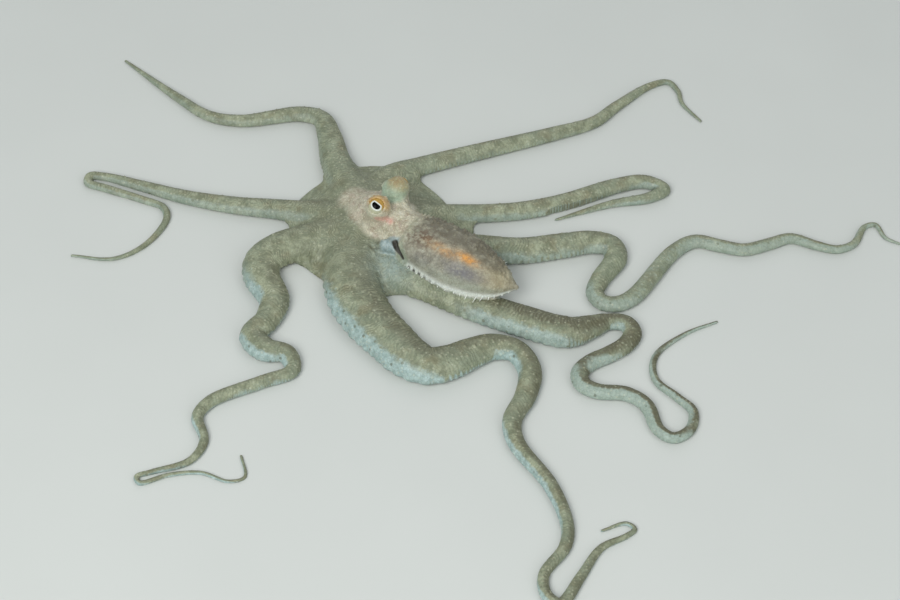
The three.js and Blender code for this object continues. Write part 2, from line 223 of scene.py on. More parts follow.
# The middle of each mound's top, and the way that its eye turns from the heading.
EYES = {"left": ((2.5, -4.6, 15.9), 1), "right": ((7.9, 3.3, 15.4), -1)}
GAZE = {"left": (276, 58), "right": (46, 16)}  # azimuth and lift of each pupil
PUPIL_TILT = 43  # degrees by which a pupil's long axis slants
PUPIL_LONG = 0.43  # its half length, as a share of the eye's radius
PUPIL_WIDE = 0.34
PUPIL_SHIFT = 0.07  # how far it lies off the middle of the eye
PUPIL_STRAIGHT = 0.62  # how soon its straight side cuts it off
LID_THICK = 0.3  # the skin over an eyeball
LID_OPENS = {"left": 52, "right": 40}  # degrees from the gaze to the lids' edge
LID_GLOW = {"left": (0.42, 0.6, 0.68), "right": (0.25, 0.2, 0.94)}  # their golden side
LID_GLOW_SHARE = {"left": 1.0, "right": 0.45}
MOUND_RADIUS = 3.85
MOUND_DROP = 0.35
MOUND_WAIST = 3.4
MOUND_FOOT = 4.6
MOUND_HEIGHT = 9.9
MOUND_BLEND = 1.6
# Fuller places on the far mound: start, end and radius.
MOUND_FOLDS = [
    ((5.5, 4.3, 16.0), (5.2, 2.4, 14.0), 1.7),
    ((8.8, 1.2, 12.5), (9.6, -2.5, 11.5), 2.2),
]
MOUND_TOP = (8.8, 4.2, 18.7)  # the middle of the far mound's brown cap

FUNNEL_FROM = (9.5, -14.4, 8.8)
FUNNEL_TO = (2.6, -13.6, 8.3)
FUNNEL_RADII = (2.7, 1.9)
FUNNEL_BORE = 1.05

# The slit where the mantle's rim stands off the head, on the left side: place and radius.
SLIT = [(7.5, -14.9, 11.4, 0.85), (8.4, -16.8, 9.9, 0.8), (10.0, -19.0, 8.4, 0.5)]
PINK_CHEEK = [(2.2, -8.6, 14.9), (4.4, -7.9, 14.0), (6.0, -8.1, 13.3)]
UNDER_HEAD = (7.5, -19, 7)  # the middle of the pale skin below the funnel

PAPILLA_ROWS = (0, 0.55, -0.1, -0.6)  # across an arm, as shares of its half width
PAPILLA_SIZE = 0.036  # radius, as a share of the arm's width
PAPILLA_STEP = 0.17  # from one to the next, as such a share
HEAD_PAPILLAE = 170
MANTLE_PAPILLAE = 240
BACK_POINTS = 130  # short points on the mantle's back
RIDGE_HEIGHT = 0.006  # of the fine ridges across an arm, as a share of its width

# Profiles of a cup and a soft point: shares of the radius and of the height.
SUCKER = [(0.02, 0.62), (0.3, 0.5), (0.5, 0.18), (0.7, 0.0), (0.92, 0.08), (1, 0.3), (0.85, 1)]
SUCKER_SIDES = 9
SUCKER_SPREAD = 0.2  # from the arm's middle to each row, as a share of its width
SUCKER_RADIUS = 0.115  # as such a share
SUCKER_LARGEST = 1.15
SUCKER_SUNK = 0.12  # how far a cup reaches into the flesh
SPINE = [(1, 0), (0.8, 0.3), (0.5, 0.65), (0.2, 0.92), (0.02, 1)]
SPINE_SIDES = 8
SPINES_FROM, SPINES_TO = 0.7, 4.75  # stations of the mantle
SPINE_TUFT = (3.35, 0.45, 2.3)  # station, spread and extra length of the longest ones


# ---- curves and distances ----


def spline(points, steps=ROUTE_STEPS):
    """Places along the centripetal Catmull-Rom curve through some points."""
    p = np.array(points, float)
    p = np.vstack([2 * p[0] - p[1], p, 2 * p[-1] - p[-2]])
    share = np.arange(steps)[:, None] / steps
    places = []
    for a, b, c, d in zip(p, p[1:], p[2:], p[3:]):
        before, here, after = (math.sqrt(np.linalg.norm(v)) for v in (b - a, c - b, d - c))
        leave = here * ((b - a) / before - (c - a) / (before + here) + (c - b) / here)
        arrive = here * ((c - b) / here - (d - b) / (here + after) + (d - c) / after)
        places.append(
            b
            + leave * share
            + (3 * (c - b) - 2 * leave - arrive) * share**2
            + (2 * (b - c) + leave + arrive) * share**3
        )
    return np.vstack([*places, p[-2:-1]])


def soft_min(a, b, blend):
    """The smaller of two distances, rounded where they are within blend of each other."""
    share = np.clip(0.5 + 0.5 * (b - a) / blend, 0, 1)
    return b + (a - b) * share - blend * share * (1 - share)


def soft_max(a, b, blend):
    return -soft_min(-a, -b, blend)


def smooth(low, high, value):
    """0 below low, 1 above high and a smooth step between them."""
    t = np.clip((value - low) / (high - low), 0, 1)
    return t * t * (3 - 2 * t)


def section(across, up, half, above, below):
    """Roughly the distance to an upright oval whose lower half has its own height."""
    rise = np.where(up > 0, above, below)
    radius = np.hypot(across / half, up / rise)
    slope = np.hypot(across / half**2, up / rise**2) / np.maximum(radius, 1e-6)
    return np.clip((radius - 1) / np.maximum(slope, 1e-3), -FAR, FAR)


def toward(azimuth, lift):
    """The unit vector at an azimuth from +X and a lift above level, in degrees."""
    a, e = math.radians(azimuth), math.radians(lift)
    return np.array([math.cos(a) * math.cos(e), math.sin(a) * math.cos(e), math.sin(e)])


SIDEWAYS = toward(HEADING + 90, 0)[:2]


def mirrored(point):
    """The same place on the other side of the body."""
    p = np.array(point, float)
    p[:2] -= 2 * ((p[:2] - np.array(NECK)) @ SIDEWAYS) * SIDEWAYS
    return p


def ball(x, y, z, centre, radius):
    """Distance to a ball."""
    square = (x - centre[0]) ** 2 + (y - centre[1]) ** 2 + (z - centre[2]) ** 2
    return np.sqrt(square) - radius


def capsule(x, y, z, start, end, radii):
    """Distance to a round bar with a radius at each end."""
    start, end = np.array(start, float), np.array(end, float)
    step = end - start
    t = ((x - start[0]) * step[0] + (y - start[1]) * step[1] + (z - start[2]) * step[2])
    t = np.clip(t / (step @ step), 0, 1)
    away = np.sqrt(
        (x - start[0] - t * step[0]) ** 2
        + (y - start[1] - t * step[1]) ** 2
        + (z - start[2] - t * step[2]) ** 2
    )
    return away - (radii[0] + t * (radii[1] - radii[0]))


# ---- routes ----


class Route:
    """A line in plan, with sizes that vary along it. A place counts stretches from its start."""

    def __init__(self, line):
        self.line = line
        self.step = np.diff(line, axis=0)
        self.travelled = np.concatenate([[0], np.cumsum(np.linalg.norm(self.step, axis=1))])

    def nearest(self, xy, place):
        """Distance, place and side of points whose rough place is known."""
        best = np.full(len(xy), np.inf)
        found = np.zeros(len(xy))
        side = np.ones(len(xy))
        for shift in (-2, -1, 0, 1, 2):
            i = np.clip(place.astype(int) + shift, 0, len(self.step) - 1)
            step = self.step[i]
            from_start = xy - self.line[i]
            t = np.clip((from_start * step).sum(1) / (step**2).sum(1), 0, 1)
            away = np.linalg.norm(from_start - t[:, None] * step, axis=1)
            nearer = away < best
            best[nearer] = away[nearer]
            found[nearer] = (i + t)[nearer]
            cross = step[:, 0] * from_start[:, 1] - step[:, 1] * from_start[:, 0]
            side[nearer] = np.sign(cross)[nearer]
        return best, found, side

    def at(self, values, place):
        """A size at a place, from its values at the line's points."""
        return np.interp(place, np.arange(len(self.line)), values)

    def place(self, travel):
        """The place that lies a distance along the line."""
        return np.interp(travel, self.travelled, np.arange(len(self.line)))

    def where(self, place):
        """A place's point in plan, with the directions ahead and to the left there."""
        i = min(int(place), len(self.step) - 1)
        ahead = self.step[i] / np.linalg.norm(self.step[i])
        left = np.array([-ahead[1], ahead[0]])
        return self.line[i] + (place - i) * self.step[i], ahead, left


def arm_route(root_width, lengths):
    """An arm's line, with its width all along."""
    route = Route(spline([point for _, through in lengths for point in through]))
    last = -1
    stops, widths = [0.0], [root_width]
    for width, through in lengths:
        last += len(through)
        stops.append(route.travelled[last * ROUTE_STEPS])
        widths.append(width)
    route.width = np.interp(route.travelled, stops, widths)
    return route


def arm_sizes(width):
    """An arm's height, the clearance under its flesh, and the height where it is widest."""
    height = ARM_FLATTEN * width / (1 + width / ARM_FLATTEN_FROM)
    lift = np.minimum(0.5, 0.08 * width)
    return height, lift, lift + ARM_WAIST * (height - lift)


def arm_distance(away, z, width, travel):
    """Distance to an arm's flesh, whose foot bulges over every sucker."""
    height, lift, waist = arm_sizes(width)
    below = (waist - lift) / math.sqrt(1 - ARM_FOOT**2)
    bulge = np.cos(2 * math.pi * travel / np.clip(0.24 * width, 0.8, 3))
    foot = 1 - smooth(0.25, 0.75, z / height)
    half = width / 2 * (1 + SCALLOP * bulge * foot)
    return np.maximum(section(away, z - waist, half, height - waist, below), lift - z)


def body_route(stations):
    """The line of the head or the mantle, with its height and its half sizes all along."""
    table = np.array(stations, float)
    centre = spline(table[:, :3])
    route = Route(centre[:, :2])
    route.rise = centre[:, 2]
    route.half = spline(table[:, 3:])
    return route


def body_sizes(route, place):
    """The height of a body's middle at a place, its half width and its half height."""
    return (route.at(size, place) for size in (route.rise, *route.half.T))


def body_distance(route, away, place, z, keel=0.0):
    """Distance to the head or the mantle, which a keel may widen low down."""
    rise, wide, high = body_sizes(route, place)
    up = z - rise
    ridge = np.exp(-(((up / high) - KEEL_AT) / KEEL_THICK) ** 2)
    return section(away, up, wide * (1 + keel * ridge), high, high)


arms = {name: arm_route(*arm) for name, arm in ARMS.items()}
head = body_route(HEAD_STATIONS)
mantle = body_route(MANTLE_STATIONS)


def eye_middle(side):
    at, turn = EYES[side]
    return np.array(at) + EYE_PROUD * toward(HEADING + turn * EYE_SPREAD, EYE_LIFT)


# ---- the flesh as a field of distances ----


class Flesh:
    """A box of voxels that holds the distance to the animal's skin."""

    def __init__(self, low, high):
        count = np.ceil((np.array(high) - np.array(low)) / VOXEL).astype(int)
        self.low = np.array(low)
        self.x, self.y, self.z = (low[i] + VOXEL * np.arange(count[i]) for i in range(3))
        self.field = np.full(count, FAR, np.float32)

    def plan(self, route, reach):
        """For each plan cell near a route: its distance and its place on the route."""
        away = np.full(self.field.shape[:2], np.inf, np.float32)
        place = np.zeros_like(away)
        for i, (start, step) in enumerate(zip(route.line, route.step)):
            corners = np.array([start, start + step])
            low, high = corners.min(0) - reach, corners.max(0) + reach
            a, b = np.searchsorted(self.x, (low[0], high[0]))
            c, d = np.searchsorted(self.y, (low[1], high[1]))
            x = self.x[a:b, None] - start[0]
            y = self.y[None, c:d] - start[1]
            t = np.clip((x * step[0] + y * step[1]) / (step @ step), 0, 1)
            here = np.hypot(x - t * step[0], y - t * step[1])
            nearer = here < away[a:b, c:d]
            away[a:b, c:d][nearer] = here[nearer]
            place[a:b, c:d][nearer] = (i + t)[nearer]
        return away, place

    def plan_cells(self, points):
        """The plan cell that each point lies in."""
        cells = ((points[:, :2] - self.low[:2]) / VOXEL + 0.5).astype(int)
        return np.clip(cells, 0, np.array(self.field.shape[:2]) - 1).T

    def join_columns(self, wanted, top, distance, blend):
        """Adds a form over some plan cells, up to a height."""
        i, j = np.nonzero(wanted)
        levels = np.searchsorted(self.z, top)
        new = distance(i, j, self.z[None, :levels])
        if np.ndim(blend):
            blend = blend[i, j][:, None]
        old = self.field[i, j, :levels]
        self.field[i, j, :levels] = soft_min(old, new, blend)

    def window(self, around, margin):
        """The voxels within a margin of some points, and their coordinates."""
        low, high = np.min(around, axis=0) - margin, np.max(around, axis=0) + margin
        a, b = np.searchsorted(self.x, (low[0], high[0]))
        c, d = np.searchsorted(self.y, (low[1], high[1]))
        e, f = np.searchsorted(self.z, (low[2], high[2]))
        part = np.s_[a:b, c:d, e:f]
        return part, self.x[a:b, None, None], self.y[None, c:d, None], self.z[None, None, e:f]

    def join(self, around, margin, distance, blend):
        """Adds a form that lies within a margin of some points."""
        part, x, y, z = self.window(around, margin)
        self.field[part] = soft_min(self.field[part], distance(x, y, z), blend)

    def cut(self, around, margin, distance, blend):
        """Takes such a form away."""
        part, x, y, z = self.window(around, margin)
        self.field[part] = soft_max(self.field[part], -distance(x, y, z), blend)

    def cut_floor(self, reach=2, blend=0.2):
        """Takes away what hangs lower than the gap over the ground."""
        levels = np.searchsorted(self.z, FLOOR_GAP + reach)
        over_gap = (FLOOR_GAP - self.z[:levels]).astype(np.float32)
        self.field[:, :, :levels] = soft_max(self.field[:, :, :levels], over_gap, blend)

    def top(self, x, y):
        """The height of the skin's upper side over a plan place, or None."""
        column = self.field[int((x - self.low[0]) / VOXEL), int((y - self.low[1]) / VOXEL)]
        inside = np.nonzero(column < 0)[0]
        if not len(inside):
            return None
        k = inside[-1]
        return self.z[k] + VOXEL * column[k] / (column[k] - column[k + 1])


def add_arms(flesh, plans):
    x, y = np.meshgrid(flesh.x, flesh.y, indexing="ij")
    near_crown = 1 - smooth(WEB_AT_ARM, WEB_AT_ARM + BLEND_FADES, np.hypot(x, y))
    blend = TIP_BLEND + ARM_BLEND * near_crown
    for name, route in arms.items():
        away, place = plans[name]
        width = route.at(route.width, place)
        travel = route.at(route.travelled, place)

        def distance(i, j, z):
            near, wide, gone = (grid[i, j][:, None] for grid in (away, width, travel))
            return arm_distance(near, z, wide, gone)

        top = route.width.max() / 2 + SHELL
        flesh.join_columns(away < width / 2 + SHELL, top, distance, blend)


def web_reach(azimuths):
    """How far the web reaches in each direction."""
    turn = 2 * math.pi
    marks = []
    for name, route in arms.items():
        out = route.line[np.argmax(np.hypot(*route.line.T) >= WEB_AT_ARM)]
        marks.append((math.atan2(out[1], out[0]) % turn, WEB_DEPTH[name]))
    marks.sort()
    starts = np.array([at for at, _ in marks])
    depths = np.array([depth for _, depth in marks])
    azimuths = azimuths % turn
    n = np.searchsorted(starts, azimuths) - 1
    start = np.where(n < 0, starts[-1] - turn, starts[n])
    end = np.where(n + 1 < len(starts), starts[(n + 1) % len(starts)], starts[0] + turn)
    share = (azimuths - start) / (end - start)
    depth = depths[n]
    return depth + (WEB_AT_ARM - depth) * np.abs(2 * share - 1) ** 3


def add_web(flesh):
    """A low dome over the arms' roots, thinning to the web's edge."""
    x, y = np.meshgrid(flesh.x, flesh.y, indexing="ij")
    radius = np.hypot(x, y)
    reach = web_reach(np.arctan2(y, x))

    def distance(i, j, z):
        r, edge = radius[i, j][:, None], reach[i, j][:, None]
        share = np.clip(r / edge, 0, 1)
        top = WEB_EDGE + (WEB_TOP - WEB_EDGE) * (1 - share**2) ** 1.6
        lift = 0.15 + 0.3 * (1 - share)
        return np.maximum(soft_max(0.93 * (z - top), r - edge, 0.7), lift - z)

    flesh.join_columns(radius < reach + SHELL, WEB_TOP + SHELL, distance, ARM_BLEND)


def neck_distance(x, y):
    """How far in front of the neck's plane a place lies."""
    faces = math.radians(NECK_FACES)
    return (x - NECK[0]) * math.cos(faces) + (y - NECK[1]) * math.sin(faces)


def add_body(flesh, plans):
    """The head, and the mantle's sack behind the neck's plane."""
    top = MANTLE_STATIONS[2][2] + MANTLE_STATIONS[2][4] + SHELL
    for route, stations, name, blend in (
        (head, HEAD_STATIONS, "head", HEAD_BLEND),
        (mantle, MANTLE_STATIONS, "mantle", MANTLE_BLEND),
    ):
        away, place = plans[name]
        keel = KEEL_OUT if route is mantle else 0.0

        def distance(i, j, z):
            body = body_distance(route, away[i, j][:, None], place[i, j][:, None], z, keel)
            if route is head:
                return body
            return soft_max(body, neck_distance(flesh.x[i], flesh.y[j])[:, None] - 0.3, 1.2)

        flesh.join_columns(away < stations[2][3] + SHELL, top, distance, blend)


def mound_distance(side, x, y, z):
    """Distance to the mound that carries an eye."""
    at = np.array(EYES[side][0])
    top = ball(x, y, z, at - (0, 0, MOUND_DROP), MOUND_RADIUS)
    foot = at - (0, 0, MOUND_HEIGHT)
    stalk = capsule(x, y, z, at - (0, 0, 1), foot, (MOUND_WAIST, MOUND_FOOT))
    return soft_min(top, stalk, 0.8)


def lid_distance(side, x, y, z):
    """Distance to the skin drawn over an eyeball, open towards its gaze."""
    middle = eye_middle(side)
    gaze = toward(*GAZE[side])
    px, py, pz = x - middle[0], y - middle[1], z - middle[2]
    along = px * gaze[0] + py * gaze[1] + pz * gaze[2]
    away = np.sqrt(px**2 + py**2 + pz**2)
    beside = np.sqrt(np.maximum(away**2 - along**2, 0))
    opens = math.radians(LID_OPENS[side])
    past_edge = along * math.sin(opens) - beside * math.cos(opens)
    shell = away - EYE_RADIUS - LID_THICK
    return soft_max(shell, past_edge, 0.3)


def add_eye_mounds(flesh):
    """The mounds with their folds, then the lids, open over a socket for each eyeball."""
    for side, (at, _) in EYES.items():
        around = [at, np.array(at) - (0, 0, 6)]
        flesh.join(around, (9, 9, 7), lambda *xyz: mound_distance(side, *xyz), MOUND_BLEND)
    for start, end, radius in MOUND_FOLDS:
        fold = (start, end, (radius, radius))
        flesh.join((start, end), 6, lambda *xyz: capsule(*xyz, *fold), MOUND_BLEND)
    for side in EYES:
        middle = eye_middle(side)
        flesh.join([middle], 6, lambda *xyz: lid_distance(side, *xyz), 0.9)
        flesh.cut([middle], 6, lambda *xyz: ball(*xyz, middle, EYE_RADIUS), 0.1)


def add_funnel(flesh):
    """The funnel below the near eye, with a bore in its end."""
    start, end = np.array(FUNNEL_FROM), np.array(FUNNEL_TO)
    inwards = (start - end) / np.linalg.norm(start - end)
    tip = end + 1.8 * inwards
    flesh.join((start, end), 6, lambda *xyz: capsule(*xyz, start, tip, FUNNEL_RADII), 1.3)
    bore = (end + 3 * inwards, end - 2 * inwards, (FUNNEL_BORE, FUNNEL_BORE))
    flesh.cut((start, end), 6, lambda *xyz: capsule(*xyz, *bore), 0.4)


def slit_pieces():
    """Each straight piece of both slits: start, end and the radius at either."""
    pieces = []
    for line in (SLIT, [(*mirrored(p[:3]), p[3]) for p in SLIT]):
        for (*start, wide), (*end, narrow) in zip(line, line[1:]):
            pieces.append((np.array(start), np.array(end), (wide, narrow)))
    return pieces


def cut_slits(flesh):
    for start, end, radii in slit_pieces():
        flesh.cut((start, end), 3, lambda *xyz: capsule(*xyz, start, end, radii), 0.35)


def arm_papillae(random):
    """Plan places and radii of the soft points along the backs of the arms."""
    for route in arms.values():
        travel, row = 7.0, 0
        while travel < route.travelled[-1]:
            place = route.place(travel)
            width = route.at(route.width, place)
            if width < 2.6:
                break
            row = (row + 1) % len(PAPILLA_ROWS)
            offset = PAPILLA_ROWS[row] + random.uniform(-0.14, 0.14)
            middle, _, left = route.where(place)
            radius = np.clip(PAPILLA_SIZE * width, 0.2, 0.34) * random.uniform(0.8, 1.15)
            yield (*(middle + left * offset * width / 2), radius)
            travel += np.clip(PAPILLA_STEP * width, 0.8, 1.5) * random.uniform(0.8, 1.2)


def body_papillae(random):
    """The same for the head and the mantle, scattered."""
    for route, count in ((head, HEAD_PAPILLAE), (mantle, MANTLE_PAPILLAE)):
        for _ in range(count):
            place = random.uniform(0, len(route.line) - 3)
            offset = random.uniform(-0.93, 0.93) * route.at(route.half[:, 0], place)
            middle, _, left = route.where(int(place))
            yield (*(middle + left * offset), random.uniform(0.24, 0.42))


def find_papillae(flesh, random):
    """Places on the skin and radii of all the soft points, none of them on an eye."""
    eyes = [eye_middle(side) for side in EYES]
    found = []
    for x, y, radius in [*arm_papillae(random), *body_papillae(random)]:
        z = flesh.top(x, y)
        if z is None:
            continue
        if min(np.linalg.norm(np.array([x, y, z]) - eye) for eye in eyes) < EYE_RADIUS + 0.7:
            continue
        found.append((x, y, z, radius))
    return found


def add_papillae(flesh, papillae):
    for x0, y0, z0, radius in papillae:
        centre = np.array([x0, y0, z0 - 0.25 * radius])
        flesh.join([centre], 3 * radius, lambda *xyz: ball(*xyz, centre, radius), 0.8 * radius)


def add_back_points(flesh, random):
    """Short soft points over the mantle's back, thickest along its far side."""
    for _ in range(BACK_POINTS):
        place = random.uniform(2, 4.3 * ROUTE_STEPS)
        angle = math.radians(random.triangular(-20, 62, 80))
        rise, wide, high = body_sizes(mantle, place)
        middle, _, left = mantle.where(place)
        root = np.array([*(middle + left * math.sin(angle) * wide), rise + math.cos(angle) * high])
        out = np.array([*(left * math.sin(angle) / wide), math.cos(angle) / high])
        out /= np.linalg.norm(out)
        tip = root + out * random.uniform(0.35, 0.75)
        point = (root - 0.3 * out, tip, (0.5, 0.16))
        flesh.join([root], 2.5, lambda *xyz: capsule(*xyz, *point), 0.35)


def build_flesh(random):
    """The whole animal's field, its routes' plan cells, and the papillae on it."""
    low = np.array(CAD_BOX[0]) / MM - 3
    high = np.array(CAD_BOX[1]) / MM + 3
    low[2] = -3 * VOXEL
    flesh = Flesh(low, high)
    plans = {name: flesh.plan(route, route.width.max() / 2 + SHELL) for name, route in arms.items()}
    plans["head"] = flesh.plan(head, HEAD_STATIONS[2][3] + SHELL)
    plans["mantle"] = flesh.plan(mantle, MANTLE_STATIONS[2][3] + SHELL)
    add_arms(flesh, plans)
    add_web(flesh)
    add_body(flesh, plans)
    add_funnel(flesh)
    add_eye_mounds(flesh)
    cut_slits(flesh)
    papillae = find_papillae(flesh, random)
    add_papillae(flesh, papillae)
    add_back_points(flesh, random)
    flesh.cut_floor()
    return flesh, plans, papillae


# ---- the skin's mesh and what is painted on it ----


def link(name, data):
    """A new object in the scene."""
    obj = bpy.data.objects.new(name, data)
    bpy.context.scene.collection.objects.link(obj)
    return obj


def new_object(name, verts, faces):
    """A smooth mesh object from millimetres."""
    mesh = bpy.data.meshes.new(name)
    verts = np.ascontiguousarray(verts, dtype=np.float32) * MM
    faces = np.ascontiguousarray(faces, dtype=np.int32)
    mesh.vertices.add(len(verts))
    mesh.vertices.foreach_set("co", verts.ravel())
    mesh.loops.add(faces.size)
    mesh.loops.foreach_set("vertex_index", faces.ravel())
    mesh.polygons.add(len(faces))
    mesh.polygons.foreach_set("loop_start", np.arange(len(faces)) * faces.shape[1])
    mesh.update(calc_edges=True)
    mesh.polygons.foreach_set("use_smooth", np.full(len(faces), True))
    mesh.validate()
    return link(name, mesh)


def paint(mesh, name, values):
    """Stores a number or a vector on each vertex."""
    values = np.asarray(values, dtype=np.float32)
    if values.ndim == 1:
        layer = mesh.attributes.new(name, "FLOAT", "POINT")
        layer.data.foreach_set("value", values)
    else:
        layer = mesh.attributes.new(name, "FLOAT_VECTOR", "POINT")
        layer.data.foreach_set("vector", values.ravel())


def arm_places(points, flesh, plans):
    """Each point's travel on its arm, side and height shares, width, and its arm's flanks."""
    i, j = flesh.plan_cells(points)
    best = np.full(len(points), np.inf)
    travel, share, width_here = (np.zeros(len(points)) for _ in range(3))
    flanks = np.zeros((len(points), 3))
    for name, route in arms.items():
        away, place = plans[name]
        near = np.nonzero(np.isfinite(away[i, j]))[0]
        exact, exact_place, side = route.nearest(points[near, :2], place[i[near], j[near]])
        width = route.at(route.width, exact_place)
        score = exact - width / 2
        closer = score < best[near]
        chosen = near[closer]
        best[chosen] = score[closer]
        travel[chosen] = route.at(route.travelled, exact_place)[closer]
        share[chosen] = (side * exact / (width / 2))[closer]
        width_here[chosen] = width[closer]
        flanks[chosen] = arm_flanks(name, travel[chosen])
    outside = np.isinf(best)
    travel[outside] = np.hypot(points[outside, 0], points[outside, 1])
    width_here[outside] = 8
    high = points[:, 2] / arm_sizes(width_here)[0]
    return travel, np.clip(share, -2, 2), np.clip(high, 0, 2), width_here, flanks


def arm_flanks(name, travel):
    """How pale an arm's near margin is, how dark its far side (partly painted shade), and how broad
    the margin.
    """
    pale, far_pigment_and_shade, pale_from, broad_from = FLANKS[name]
    broad = smooth(broad_from - 8, broad_from + 8, travel)
    margin = pale * smooth(pale_from - 6, pale_from + 6, travel) * (1 + 0.4 * broad)
    return np.stack([np.minimum(1, margin), np.full(len(travel), far_pigment_and_shade), broad], 1)


def body_places(route, points, plan, flesh):
    """Each point's station, degrees up from the left side, and distance to the body."""
    i, j = flesh.plan_cells(points)
    away, place = plan[0][i, j], plan[1][i, j]
    near = np.isfinite(away)
    station = np.full(len(points), -1.0)
    degrees = np.zeros(len(points))
    distance = np.full(len(points), FAR)
    exact, exact_place, side = route.nearest(points[near, :2], place[near])
    rise, wide, high = body_sizes(route, exact_place)
    up = (points[near, 2] - rise) / high
    station[near] = exact_place / ROUTE_STEPS
    degrees[near] = np.degrees(np.arctan2(up, -side * exact / wide))
    distance[near] = body_distance(route, exact, exact_place, points[near, 2])
    return station, degrees, distance


def mark(station, degrees, at, size):
    """A soft patch on the mantle round a station and an angle."""
    return np.exp(-(((station - at[0]) / size[0]) ** 2) - ((degrees - at[1]) / size[1]) ** 2)


def spot(points, centre, radius):
    """A soft round patch in space."""
    return np.exp(-((points - np.array(centre)) ** 2).sum(1) / radius**2)


def paint_parts(mesh, points, to_head, to_mantle):
    """Paints where the skin is mantle, head or funnel, and gives what is left for the arms."""
    x, y, z = points.T
    mounds = np.minimum(*(mound_distance(side, x, y, z) for side in EYES))
    ahead = neck_distance(x, y)
    on_sack = (1 - smooth(0.3, 1.6, to_mantle)) * (1 - smooth(-1.5, 1.8, ahead))
    near_neck = smooth(-5.5, 1.5, ahead)
    on_head = 1 - smooth(0.2, 3.0, np.minimum(to_head, mounds))
    on_head = np.maximum(on_head * (1 - on_sack), on_sack * near_neck)
    funnel = capsule(x, y, z, FUNNEL_FROM, FUNNEL_TO, FUNNEL_RADII)
    on_funnel = (1 - smooth(0.0, 0.9, funnel)) * (1 - smooth(0.1, 0.7, on_sack))
    on_funnel *= smooth(2.2, 4.2, x)
    paint(mesh, "mantle", on_sack * (1 - near_neck))
    paint(mesh, "head", on_head)
    paint(mesh, "funnel", on_funnel)
    return (1 - on_sack) * (1 - on_head) * (1 - on_funnel)


def raise_ridges(mesh, points, normals, arm_place, on_arms):
    """Fine ridges across the arms, as low waves in the skin itself."""
    travel, share, high, width = arm_place
    x, y, _ = points.T
    pitch = np.clip(0.16 * width, 0.8, 1.35)
    wander = 0.7 * np.sin(1.1 * x + 0.7 * y) + 0.6 * np.sin(1.9 * y - 1.3 * x + 1)
    wave = np.sin(2 * math.pi * (travel / pitch - 0.6 * np.abs(share) + wander))
    swell = RIDGE_HEIGHT * np.minimum(width, 9) * wave * smooth(0.4, 0.8, high) * on_arms
    moved = (points + normals * swell[:, None]) * MM
    mesh.vertices.foreach_set("co", moved.astype(np.float32).ravel())
    mesh.update()


def paint_papillae(mesh, points, papillae):
    tree = kdtree.KDTree(len(papillae))
    for n, papilla in enumerate(papillae):
        tree.insert(papilla[:3], n)
    tree.balance()
    tips = np.zeros(len(points))
    for n, point in enumerate(points.tolist()):
        _, nearest, away = tree.find(point)
        tips[n] = away / papillae[nearest][3]
    paint(mesh, "papilla", 1 - smooth(0.5, 1.25, tips))


def paint_mantle(mesh, station, degrees):
    """The mantle's patches and the painted shadow under its keel, by station and by degrees up from
    its left side.
    """
    def patch(at, size):
        return mark(station, degrees, at, size)

    folded = np.where(degrees > 90, 180 - degrees, degrees)
    faint = 0.5 * patch((1.8, 66), (0.6, 9))
    paint(mesh, "orange", np.maximum(faint, patch((2.6, 73), (0.45, 9))))
    faint = 0.45 * patch((1.3, 24), (0.5, 18))
    paint(mesh, "violet", np.maximum(faint, patch((2.8, 42), (0.8, 18))))
    paint(mesh, "beige", patch((4.1, 60), (0.8, 70)))
    paint(mesh, "saddle", smooth(72, 96, degrees) * (1 - smooth(3.6, 4.6, station)))
    paint(mesh, "mottles", patch((0.85, 68), (0.65, 22)))
    paint(mesh, "keel", np.exp(-(((folded + 11) / 11) ** 2)) * smooth(0.1, 0.6, station))
    paint(mesh, "band", mark(station, folded, (2.9, 14), (1.5, 16)))
    # Painted shadow: dark gaps between the spines under the keel's front.
    keel_shadow_gaps = smooth(-0.1, 0.4, np.sin(2 * math.pi * station / 0.21))
    paint(mesh, "keel_shadow_gaps", keel_shadow_gaps * mark(station, folded, (1.15, -14.5), (0.6, 4.5)))
    paint(mesh, "belly", 1 - smooth(-50, -28, folded))


def paint_head(mesh, points):
    """The slits' painted shade with their rims, the cheek, the far mound and the skin under the
    head.
    """
    x, y, z = points.T
    slit_away = np.minimum.reduce([capsule(x, y, z, *piece) for piece in slit_pieces()])
    paint(mesh, "rim", (1 - smooth(1.2, 2.8, slit_away)) * smooth(0.0, 0.8, -neck_distance(x, y)))
    # Painted shade: the slits' openings are coloured near black.
    paint(mesh, "slit_shade", 1 - smooth(0.0, 0.4, slit_away))
    cheek = np.minimum.reduce([
        capsule(x, y, z, start, end, (0.3, 0.3)) for start, end in zip(PINK_CHEEK, PINK_CHEEK[1:])
    ])
    paint(mesh, "cheek", 1 - smooth(0.1, 1.3, cheek))
    far_mound = 1 - smooth(0.4, 1.4, mound_distance("right", x, y, z))
    paint(mesh, "mound", far_mound * smooth(12, 15.2, z - 0.5 * (x - 8)))
    paint(mesh, "mound_top", far_mound * spot(points, MOUND_TOP, 2.6))
    paint(mesh, "under_head", spot(points, UNDER_HEAD, 7.5))


def paint_lids(mesh, points):
    """Golden on one side of each eye and pale on the other."""
    glow, pale = (np.zeros(len(points)) for _ in range(2))
    for side in EYES:
        from_eye = points - eye_middle(side)
        away = np.linalg.norm(from_eye, axis=1)
        toward_glow = (from_eye @ np.array(LID_GLOW[side])) / np.maximum(away, 1e-6)
        lid = 1 - smooth(3.5, 4.9, away)
        glow = np.maximum(glow, LID_GLOW_SHARE[side] * lid * smooth(-0.25, 0.5, toward_glow))
        pale = np.maximum(pale, lid * smooth(-0.1, -0.6, toward_glow))
    paint(mesh, "lid_glow", glow)
    paint(mesh, "lid_pale", pale)


